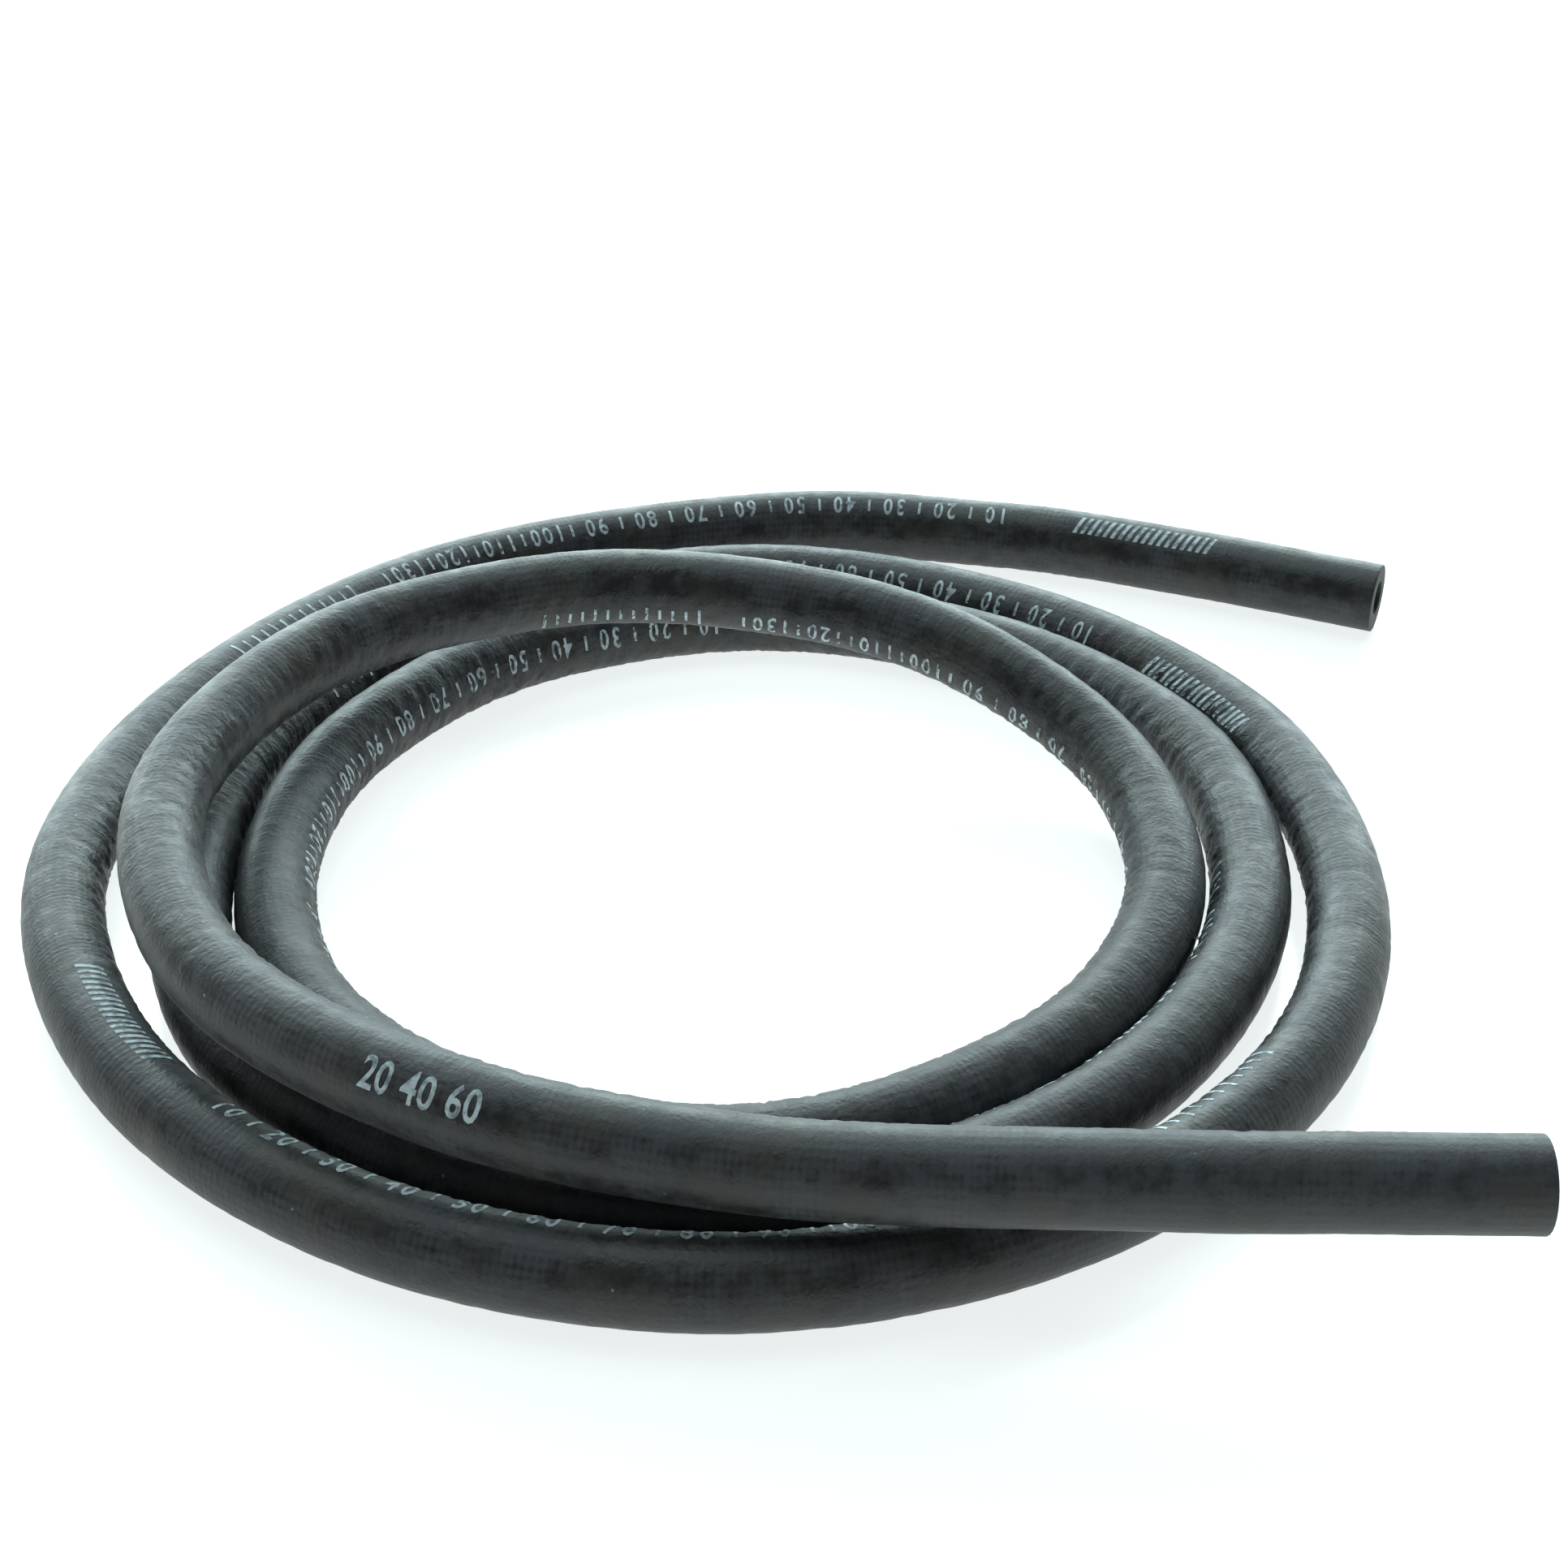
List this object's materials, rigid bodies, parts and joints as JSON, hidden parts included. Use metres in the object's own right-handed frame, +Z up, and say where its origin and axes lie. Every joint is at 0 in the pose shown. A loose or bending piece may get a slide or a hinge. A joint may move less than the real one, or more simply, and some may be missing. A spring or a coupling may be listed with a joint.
{
  "type": "fuel hose",
  "caption": "Length of black rubber fuel hose lying in a loose coil, with one straight tail on top and one on the floor, both ends cut square.",
  "frame": {"origin": "on the floor under the middle of the coil's box", "axes": "+Z up, +X along the straight front tail and out of its end"},
  "size_m": [0.2294, 0.2304, 0.0305],
  "materials": {
    "rubber": "matte"
  },
  "bodies": {
    "root": {"hose": "rubber"}
  },
  "joints": []
}
